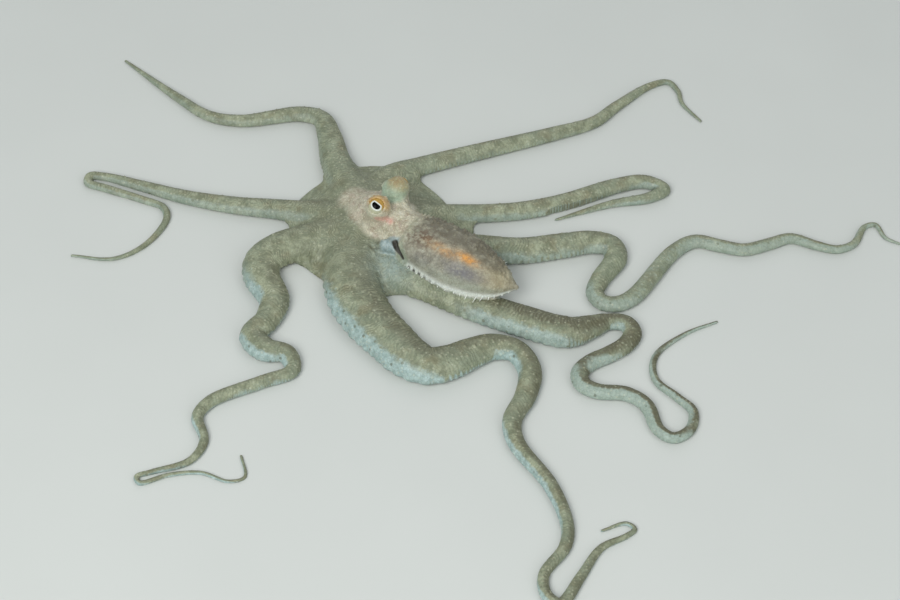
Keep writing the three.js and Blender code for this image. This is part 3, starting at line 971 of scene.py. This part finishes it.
def make_skin(flesh, plans, papillae):
    """The whole skin as one mesh, with everything its material reads painted on it."""
    grid = openvdb.FloatGrid(FAR)
    grid.copyFromArray(flesh.field)
    verts, quads = grid.convertToQuads(0.0)
    points = verts * VOXEL + flesh.low
    skin = new_object("skin", points, quads)
    mesh = skin.data
    normals = np.empty(3 * len(mesh.vertices), np.float32)
    mesh.vertices.foreach_get("normal", normals)
    normals = normals.reshape(-1, 3)

    *arm_place, flanks = arm_places(points, flesh, plans)
    station, degrees, to_mantle = body_places(mantle, points, plans["mantle"], flesh)
    _, _, to_head = body_places(head, points, plans["head"], flesh)
    on_arms = paint_parts(mesh, points, to_head, to_mantle)
    raise_ridges(mesh, points, normals, arm_place, on_arms)
    paint(mesh, "place", np.stack(arm_place[:3], 1))
    paint(mesh, "flanks", flanks)
    paint(mesh, "crown", 1 - smooth(12, 34, np.hypot(points[:, 0], points[:, 1])))
    paint(mesh, "far_side", 0.6 * normals[:, 0] + 0.8 * normals[:, 1])
    paint(mesh, "facing_up", normals[:, 2])
    paint_papillae(mesh, points, papillae)
    paint_mantle(mesh, station, degrees)
    paint_head(mesh, points)
    paint_lids(mesh, points)
    return skin


# ---- small pieces ----


def lathe(profile, sides):
    """Unit rings about +Z: (radius, height) pairs swept round, closed at both ends."""
    angles = 2 * math.pi * np.arange(sides) / sides
    verts = [(r * math.cos(a), r * math.sin(a), h) for r, h in profile for a in angles]
    faces = []
    for ring in range(len(profile) - 1):
        for n in range(sides):
            a, b = ring * sides + n, ring * sides + (n + 1) % sides
            faces.append((a, b, b + sides, a + sides))
    return np.array(verts), np.array(faces)


def place_copies(name, shape, turns):
    """Many copies of one shape, joined: turns is a list of (3x3 matrix, offset)."""
    verts, faces = shape
    every_vert = np.concatenate([verts @ turn.T + offset for turn, offset in turns])
    every_face = np.concatenate([faces + n * len(verts) for n in range(len(turns))])
    return new_object(name, every_vert, every_face)


def make_suckers():
    """Two rows of cups under each arm, whose rims stand on the ground."""
    turns = []
    for route in arms.values():
        travel, side = 1.0, 1
        while travel < route.travelled[-1] - 1.5:
            place = route.place(travel)
            width = float(route.at(route.width, place))
            if width < 1.2:
                break
            middle, _, left = route.where(place)
            middle = middle + side * SUCKER_SPREAD * width * left
            radius = min(SUCKER_RADIUS * width, SUCKER_LARGEST)
            height = float(arm_sizes(width)[1]) + SUCKER_SUNK
            turns.append((np.diag([radius, radius, height]), np.array([*middle, 0.0])))
            side = -side
            travel += max(1.05 * radius, 0.34)
    return place_copies("suckers", lathe(SUCKER, SUCKER_SIDES), turns)


def make_spines(random):
    """The soft white points that hang from the mantle's keels."""
    level = KEEL_AT + 0.08
    tuft_at, tuft_spread, tuft_length = SPINE_TUFT
    turns = []
    for side in (1, -1):
        station = SPINES_FROM
        while station < SPINES_TO:
            place = station * ROUTE_STEPS
            middle, ahead, left = mantle.where(place)
            out = -side * left
            rise, wide, high = body_sizes(mantle, place)
            across = wide * (1 + KEEL_OUT) * math.sqrt(1 - level**2)
            root = np.array([*(middle + out * (across - 0.35)), rise + level * high])
            drop = random.uniform(0.0, 0.35)
            lean = random.uniform(-0.2, 0.7)
            point = np.array([*(out + lean * ahead), -drop])
            point /= np.linalg.norm(point)
            aside = np.cross(point, (0, 0, 1.0))
            aside /= np.linalg.norm(aside)
            third = np.cross(point, aside)
            tuft = math.exp(-(((station - tuft_at) / tuft_spread) ** 2))
            long = random.uniform(0.5, 0.85) + tuft_length * tuft
            thick = random.uniform(0.2, 0.28)
            turns.append((np.stack([thick * aside, thick * third, long * point], 1), root))
            station += random.uniform(0.17, 0.36)
    return place_copies("keel_spines", lathe(SPINE, SPINE_SIDES), turns)


def make_eye(side):
    """An eyeball built in rings round its gaze, each vertex knowing where it lies on it."""
    _, turn = EYES[side]
    gaze = toward(*GAZE[side])
    across = np.cross(gaze, (0, 0, 1.0))
    across /= np.linalg.norm(across)
    above = np.cross(across, gaze)
    rings, sides = 40, 64
    angles = [math.pi * k / rings for k in range(rings + 1)]
    profile = [(max(math.sin(angle), 1e-3), math.cos(angle)) for angle in angles]
    verts, faces = lathe(profile, sides)
    bulge = 1 + CORNEA_BULGE * smooth(0.55, 1.0, verts[:, 2])
    turned = (verts * bulge[:, None]) @ np.stack([across, above, gaze])
    eye = new_object(f"eyeball_{side}", turned * EYE_RADIUS + eye_middle(side), faces)
    paint(eye.data, "look", verts * np.array([turn, 1, 1]))
    return eye


# ---- materials ----


def colour(code):
    """A colour written as in a paint program, as Blender's linear numbers."""
    parts = [int(code[n:n + 2], 16) / 255 for n in (1, 3, 5)]
    linear = [c / 12.92 if c <= 0.04045 else ((c + 0.055) / 1.055) ** 2.4 for c in parts]
    return (*linear, 1)


class Paint:
    """Builds one material. Each call adds nodes and gives back their output."""

    def __init__(self, name):
        self.material = bpy.data.materials.new(name)
        self.material.use_nodes = True
        self.nodes = self.material.node_tree.nodes
        self.links = self.material.node_tree.links
        self.nodes.clear()
        self.places = self.node("ShaderNodeTexCoord", out="Object")

    def fill(self, socket, value):
        """Links an output to an input, or sets a plain value on it."""
        if isinstance(value, bpy.types.NodeSocket):
            self.links.new(value, socket)
        else:
            socket.default_value = value

    def node(self, kind, inputs=(), out=0, **settings):
        node = self.nodes.new(kind)
        for key, value in settings.items():
            setattr(node, key, value)
        for key, value in dict(inputs).items():
            self.fill(node.inputs[key], value)
        return node.outputs[out]

    def attribute(self, name, out="Fac"):
        return self.node("ShaderNodeAttribute", out=out, attribute_name=name)

    def axes(self, name):
        """The three numbers of a painted vector."""
        vector = self.attribute(name, "Vector")
        return self.node("ShaderNodeSeparateXYZ", {0: vector}).node.outputs

    def math(self, operation, a, b=0.0):
        return self.node("ShaderNodeMath", {0: a, 1: b}, operation=operation)

    def times(self, product, *others):
        for value in others:
            product = self.math("MULTIPLY", product, value)
        return product

    def mix(self, factor, a, b, blend_type="MIX"):
        a, b = (colour(c) if isinstance(c, str) else c for c in (a, b))
        return self.node(
            "ShaderNodeMix", {0: factor, 6: a, 7: b}, out=2, data_type="RGBA",
            blend_type=blend_type, clamp_factor=True,
        )

    def lay(self, skin, over, *shares):
        """A colour laid over a skin, as strongly as some shares' product."""
        return self.mix(self.times(*shares), skin, over)

    def step(self, value, low, high, to_low=0.0, to_high=1.0):
        """A smooth step of a value from one number to another."""
        return self.node(
            "ShaderNodeMapRange",
            {"Value": value, "From Min": low, "From Max": high, "To Min": to_low, "To Max": to_high},
            interpolation_type="SMOOTHSTEP",
        )

    def noise(self, size, detail=3.0, rough=0.55, vector=None):
        """Cloudy noise whose patches are about a size in millimetres."""
        return self.node(
            "ShaderNodeTexNoise",
            {
                "Vector": vector or self.places,
                "Scale": 1 / (size * MM) if vector is None else 1 / size,
                "Detail": detail,
                "Roughness": rough,
            },
        )

    def clouds(self, size, detail, low, high, to_low=0.0, to_high=1.0):
        """Cloudy noise sharpened into patches."""
        return self.step(self.noise(size, detail), low, high, to_low, to_high)

    def patch(self, skin, name, over, share, *clouds):
        """A colour laid where a patch is painted, broken up by clouds if they are given."""
        broken = self.clouds(*clouds) if clouds else 1.0
        return self.lay(skin, over, self.attribute(name), broken, share)

    def cells(self, size, feature="F1"):
        """The distance to scattered points about a size apart, in shares of that size."""
        return self.node(
            "ShaderNodeTexVoronoi",
            {"Vector": self.places, "Scale": 1 / (size * MM)},
            out="Distance",
            feature=feature,
        )

    def dots(self, skin, over, share, size, low, high):
        """Small dots of a colour, scattered about a size apart."""
        return self.lay(skin, over, self.step(self.cells(size), low, high), share)

    def bump(self, height, depth, strength=1.0, normal=None):
        """A bump whose full height is a depth in millimetres."""
        inputs = {"Strength": strength, "Distance": depth * MM, "Height": height}
        if normal:
            inputs["Normal"] = normal
        return self.node("ShaderNodeBump", inputs)

    def swing(self, size, detail, width):
        """Noise about 0, as wide as given."""
        return self.times(self.math("SUBTRACT", self.noise(size, detail), 0.5), width)

    def finish(self, **inputs):
        """The material, with a Principled shader's inputs as given."""
        shader = self.nodes.new("ShaderNodeBsdfPrincipled")
        for key, value in inputs.items():
            self.fill(shader.inputs[key.replace("_", " ")], value)
        output = self.nodes.new("ShaderNodeOutputMaterial")
        self.links.new(shader.outputs[0], output.inputs["Surface"])
        return self.material


FLESHY = {
    "Subsurface_Weight": 0.2,
    "Subsurface_Radius": (1.0, 0.8, 0.6),
    "Subsurface_Scale": 1.0 * MM,
}


def arm_colour(p, travel, share, high):
    """Olive with clouds, a dark ribbed far side that is partly painted shade, and a pale blue near
    margin.
    """
    olive = p.mix(p.clouds(3.4, 4, 0.34, 0.66), "#80876d", "#a6ad92")
    olive = p.lay(olive, "#857f60", p.clouds(6, 3, 0.5, 0.66), 0.5)
    olive = p.lay(olive, "#8d9983", p.clouds(9, 3, 0.44, 0.6), 0.5)
    flank, far_pigment_and_shade_share, broad = p.axes("flanks")
    far_side = p.attribute("far_side")
    # Dark far side: partly the skin's own colour, partly painted shade on the side facing +X and +Y.
    reach = p.math("ADD", far_side, p.times(far_pigment_and_shade_share, 0.25))
    far_pigment_and_shade_mask = p.times(p.step(reach, 0.03, 0.45), p.math("MINIMUM", far_pigment_and_shade_share, 1.0))
    olive = p.lay(olive, "#5d5b42", far_pigment_and_shade_mask, p.clouds(4.2, 4, 0.3, 0.5, 0.45), 0.85)
    ribs = p.math("SINE", p.times(p.math("ADD", travel, p.noise(2.5, 2)), 6.0))
    fade = p.step(travel, 60, 90, 1.0, 0.3)
    broken = p.clouds(1.0, 3, 0.38, 0.6)
    olive = p.lay(olive, "#a9a98e", p.step(ribs, 0.1, 0.9), far_pigment_and_shade_mask, fade, broken, 0.35)

    wobble = p.swing(2.6, 3, 0.4)
    turned = p.math("SUBTRACT", p.math("ADD", far_side, wobble), p.times(broad, 0.44))
    on_arm = p.step(p.math("ABSOLUTE", share), 1.12, 1.0)
    margin = p.times(p.step(turned, -0.34, -0.66), flank, on_arm)
    steep = p.step(p.attribute("facing_up"), 0.75, 0.35)
    low = p.times(p.step(p.math("ADD", high, wobble), 0.5, 0.26), steep, flank, on_arm)
    pale = p.math("MAXIMUM", margin, p.times(low, 0.7))
    pale_skin = p.mix(p.clouds(1.6, 3, 0.3, 0.7), "#99b1ad", "#b9cecb")
    pale_skin = p.lay(pale_skin, "#a3b09f", broad, 0.6)
    pale_skin = p.dots(pale_skin, "#5d6350", 0.7, 3.1, 0.2, 0.1)
    return p.lay(olive, pale_skin, pale, 0.9), pale


def mantle_colour(p):
    """Mottled grey-brown with an orange streak, a violet flank, a white keel and painted shadow
    under it.
    """
    skin = p.mix(p.clouds(2.6, 4, 0.36, 0.64), "#8b8877", "#b0af9c")
    skin = p.lay(skin, "#716551", p.clouds(0.9, 3, 0.5, 0.66), 0.35)
    skin = p.dots(skin, "#d3cfbb", 0.28, 0.6, 0.4, 0.2)
    skin = p.patch(skin, "violet", "#605f67", 0.9, 2.0, 4, 0.3, 0.52)
    skin = p.patch(skin, "beige", "#ab9f78", 0.6)
    skin = p.patch(skin, "saddle", "#655f4b", 0.75, 3.2, 4, 0.3, 0.52, 0.35)
    skin = p.patch(skin, "mottles", "#654d3a", 0.9, 1.6, 4, 0.42, 0.58)
    skin = p.patch(skin, "orange", "#e2a552", 0.95, 1.5, 3, 0.22, 0.55)
    skin = p.patch(skin, "band", "#b0b9a8", 0.75, 2.0, 3, 0.25, 0.6, 0.5)
    skin = p.patch(skin, "belly", "#a9b3a4", 0.8)
    skin = p.patch(skin, "keel", "#e8eee6", 0.9, 1.2, 3, 0.16, 0.42, 0.5)
    # Painted shadow in the gaps under the keel's front.
    return p.patch(skin, "keel_shadow_gaps", "#3a3b2f", 1.0)


def head_colour(p):
    """Tan with cream grains, golden lids and one pale green eye mound."""
    skin = p.mix(p.clouds(2.4, 4, 0.34, 0.66), "#b1ab93", "#d6d3be")
    skin = p.lay(skin, "#978a74", p.clouds(1.2, 3, 0.5, 0.64), 0.4)
    skin = p.lay(skin, "#a58c7c", p.clouds(3.2, 3, 0.48, 0.64), 0.45)
    skin = p.dots(skin, "#e4e1cb", 0.5, 0.85, 0.5, 0.2)
    skin = p.dots(skin, "#efecd9", 0.35, 0.5, 0.42, 0.2)
    green = p.mix(p.noise(1.8, 3), "#96ab93", "#b6c9b3")
    skin = p.patch(skin, "mound", green, 1.0, 1.7, 3, 0.2, 0.5, 0.45, 0.95)
    skin = p.patch(skin, "mound_top", "#756842", 0.9, 1.1, 3, 0.25, 0.45, 0.3)
    skin = p.patch(skin, "lid_pale", "#d6d5bd", 0.6)
    skin = p.patch(skin, "cheek", "#e2aa9b", 0.65, 0.9, 2, 0.2, 0.5, 0.6)
    golden = p.mix(p.clouds(0.7, 2, 0.4, 0.6), "#c49658", "#d0b064")
    return p.patch(skin, "lid_glow", golden, 0.85, 0.8, 3, 0.2, 0.6, 0.5)


def skin_lines(p, travel, share):
    """Fine wandering lines like a fingerprint's, as a wave from 0 to 1."""
    lean = p.times(p.math("ABSOLUTE", share), 0.8)
    wander = p.times(p.noise(4.2, 2.0, 0.4), p.step(travel, 25, 60, 8.0, 3.5))
    rows = p.math("ADD", p.math("SUBTRACT", p.math("DIVIDE", travel, 1.2), lean), wander)
    return p.step(p.math("SINE", p.times(rows, 2 * math.pi)), -1.0, 1.0)


def lined(p, skin, lines, travel, on_back):
    """Fine pale lines and dark furrows between them on every arm's back."""
    clear = p.times(
        on_back,
        p.clouds(7, 2, 0.36, 0.62, 0.4),
        p.step(travel, 36, 70, 1.0, 0.4),
        p.clouds(1.3, 3, 0.36, 0.6, 0.3),
    )
    skin = p.lay(skin, "#b4b89c", p.step(lines, 0.55, 0.95), clear, 0.36)
    return p.lay(skin, "#5b5c45", p.step(lines, 0.35, 0.05), clear, 0.3)


def speckled(p, skin, grain):
    """A faint net of cracks, pale points, dark pores, pale papillae and a fine grain."""
    net = p.step(p.cells(1.25, "DISTANCE_TO_EDGE"), 0.14, 0.03)
    skin = p.lay(skin, "#4c4936", net, 0.14)
    mantle_here = p.attribute("mantle")
    skin = p.dots(skin, "#c9ccb4", p.step(mantle_here, 0.0, 1.0, 0.38, 0.15), 1.7, 0.26, 0.12)
    skin = p.dots(skin, "#4f4f3c", 0.16, 0.7, 0.34, 0.16)
    skin = p.patch(skin, "papilla", "#c9c8ac", p.step(mantle_here, 0.0, 1.0, 0.35, 0.15))
    grey = p.mix(p.step(grain, 0.3, 0.7), "#505050", "#b0b0b0")
    return p.mix(0.3, skin, grey, "SOFT_LIGHT")


def skin_material():
    p = Paint("octopus_skin")
    travel, share, high = p.axes("place")
    mantle_here, head_here = p.attribute("mantle"), p.attribute("head")
    skin, pale = arm_colour(p, travel, share, high)
    skin = p.patch(skin, "crown", "#7f836a", 0.4)
    body = p.math("MAXIMUM", mantle_here, head_here)
    on_back = p.times(p.math("SUBTRACT", 1.0, body), p.math("SUBTRACT", 1.0, pale))
    lines = p.times(skin_lines(p, travel, share), on_back)
    skin = lined(p, skin, lines, travel, on_back)
    skin = p.patch(skin, "under_head", "#a6b8b1", 0.85, 2.2, 3, 0.25, 0.6, 0.5)
    skin = p.mix(head_here, skin, head_colour(p))
    ragged = p.times(p.swing(1.8, 4, 1.6), p.step(mantle_here, 0.0, 0.2))
    edge = p.step(p.math("ADD", mantle_here, ragged), 0.25, 0.75)
    skin = p.mix(edge, skin, mantle_colour(p))
    blue = p.mix(p.clouds(1.4, 3, 0.3, 0.7), "#93a8aa", "#b4c6c6")
    skin = p.patch(skin, "funnel", blue, 0.85)
    skin = p.patch(skin, "rim", "#97a48d", 0.7)
    grain = p.noise(0.5, 4, 0.65)
    skin = speckled(p, skin, grain)
    # Painted shade inside the slits.
    skin = p.patch(skin, "slit_shade", "#2c2a1e", 1.0)

    normal = p.bump(grain, 0.1, 0.6)
    normal = p.bump(p.cells(1.25, "SMOOTH_F1"), 0.2, 0.5, normal)
    normal = p.bump(lines, 0.12, 0.6, normal)
    return p.finish(
        Base_Color=skin,
        Roughness=p.step(grain, 0.3, 0.7, 0.45, 0.65),
        Normal=normal,
        **FLESHY,
        Coat_Weight=0.06,
        Coat_Roughness=0.3,
    )


def pupil_shape(p, left, above):
    """How far out of a slanting pupil with one straight side a place is, with 1 at its edge."""
    tilt = math.radians(PUPIL_TILT)
    along = p.math("ADD", p.times(left, math.cos(tilt)), p.times(above, math.sin(tilt)))
    across = p.math("SUBTRACT", p.times(above, math.cos(tilt)), p.times(left, math.sin(tilt)))
    long = p.math("DIVIDE", along, PUPIL_LONG)
    wide = p.math("DIVIDE", p.math("ADD", across, PUPIL_SHIFT), PUPIL_WIDE)
    oval = p.math("SQRT", p.math("ADD", p.math("POWER", long, 2.0), p.math("POWER", wide, 2.0)))
    straight = p.math("ADD", p.math("DIVIDE", across, PUPIL_WIDE), PUPIL_STRAIGHT)
    cut = p.node("ShaderNodeMath", {0: oval, 1: straight, 2: 0.2}, operation="SMOOTH_MAX")
    return cut, oval


def eye_material():
    """A black pupil, a thin white ring and a golden iris, paler low down."""
    p = Paint("octopus_eye")
    left, above, _ = p.axes("look")
    shape, oval = pupil_shape(p, left, above)
    angle = p.math("ARCTAN2", above, left)
    rays = p.node("ShaderNodeCombineXYZ", {0: p.times(angle, 6.0), 1: oval})
    streak = p.noise(0.55, 3, 0.6, rays)
    iris = p.mix(p.step(streak, 0.35, 0.7), "#a9803f", "#cbab5c")
    iris = p.dots(iris, "#8a5c30", 0.4, 0.4, 0.3, 0.12)
    low = p.step(p.math("SUBTRACT", above, p.times(left, 0.6)), 0.15, -0.45)
    iris = p.lay(iris, "#b7bea6", low, 0.85)
    white = p.mix(p.noise(0.6, 2), "#cfd6cc", "#e6e9e0")
    ball_colour = p.mix(p.step(shape, 1.32, 1.46), white, iris)
    ball_colour = p.mix(p.step(shape, 0.98, 1.05), "#020202", ball_colour)
    return p.finish(
        Base_Color=ball_colour,
        Roughness=0.25,
        Specular_IOR_Level=0.04,
        Normal=p.bump(streak, 0.03, 0.5),
        Coat_Weight=0.05,
        Coat_Roughness=0.06,
    )


def sucker_material():
    p = Paint("octopus_suckers")
    skin = p.mix(p.noise(1.0, 3), "#b7b7a4", "#d6d3c4")
    skin = p.lay(skin, "#a0917c", p.clouds(0.5, 3, 0.5, 0.7), 0.4)
    return p.finish(
        Base_Color=skin,
        Roughness=0.45,
        Normal=p.bump(p.noise(0.3, 3), 0.05, 0.6),
        **FLESHY,
    )


def spine_material():
    p = Paint("octopus_spines")
    skin = p.mix(p.noise(0.7, 3), "#d3dbd0", "#f0f2ea")
    return p.finish(
        Base_Color=skin,
        Roughness=0.45,
        Normal=p.bump(p.noise(0.25, 3), 0.04, 0.6),
        Subsurface_Weight=0.3,
        Subsurface_Radius=(1.0, 0.9, 0.8),
        Subsurface_Scale=0.8 * MM,
    )


def floor_material():
    p = Paint("studio_floor")
    pale = p.mix(p.noise(60, 2), "#c9cdc8", "#cfd3ce")
    return p.finish(Base_Color=pale, Roughness=0.8)


# ---- studio ----

CAMERA_AT = (0.02453, -0.44363, 0.46075)
CAMERA_DOWN = 48  # degrees below level that the camera looks
FILM = 36
FOCAL_IN_WIDTHS = 2032.8 / 900  # focal length over the picture's width, both in pixels
FLOOR_SIDE = 4.0
# Each lamp's place, size and watts. All of them face the origin.
LAMPS = {
    "key": ((-0.3, -0.55, 0.66), 0.5, 5.4),
    "fill": ((0.6, -0.5, 0.6), 0.8, 2.4),
    "back": ((0.1, 0.8, 0.6), 0.8, 1.9),
}
SKY = (0.9, 0.95, 1, 1)
SKY_STRENGTH = 0.34


def make_camera():
    """Looks down at a ground point a little to the right of the crown."""
    data = bpy.data.cameras.new("camera")
    data.sensor_width = FILM
    data.lens = FILM * FOCAL_IN_WIDTHS
    data.clip_start = 0.01
    data.clip_end = 20
    camera = link("camera", data)
    camera.location = CAMERA_AT
    camera.rotation_euler = (math.radians(90 - CAMERA_DOWN), 0, 0)
    bpy.context.scene.camera = camera


def make_light(name, place, size, power):
    data = bpy.data.lights.new(name, "AREA")
    data.size = size
    data.energy = power
    light = link(name, data)
    light.location = place
    light.rotation_euler = (-Vector(place)).to_track_quat("-Z", "Y").to_euler()


def make_studio():
    """A pale floor, soft lamps and an even sky."""
    bpy.ops.mesh.primitive_plane_add(size=FLOOR_SIDE)
    floor = bpy.context.object
    floor.name = "studio_floor"
    floor.data.materials.append(floor_material())
    floor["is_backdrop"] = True
    for name, lamp in LAMPS.items():
        make_light(name, *lamp)
    world = bpy.data.worlds.new("studio")
    world.use_nodes = True
    sky = world.node_tree.nodes["Background"].inputs
    sky["Color"].default_value = SKY
    sky["Strength"].default_value = SKY_STRENGTH
    bpy.context.scene.world = world
    bpy.context.scene.view_settings.view_transform = "Standard"


# ---- put together ----


def add_piece(piece, material, nodes=()):
    """Dresses a piece and tells the frame what it is."""
    piece.data.materials.append(material)
    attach(piece, "root")
    if nodes:
        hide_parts(*nodes)


make_camera()
make_studio()
random = np.random.default_rng(SEED)
flesh, plans, papillae = build_flesh(random)
flesh_nodes = [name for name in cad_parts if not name.startswith("eye_")]
add_piece(make_skin(flesh, plans, papillae), skin_material(), flesh_nodes)
eye_look = eye_material()
for side in EYES:
    add_piece(make_eye(side), eye_look, [f"eye_{side}"])
add_piece(make_suckers(), sucker_material())
add_piece(make_spines(random), spine_material())

[[list(corner) for corner in box] for box in (CAD_BOX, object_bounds())]
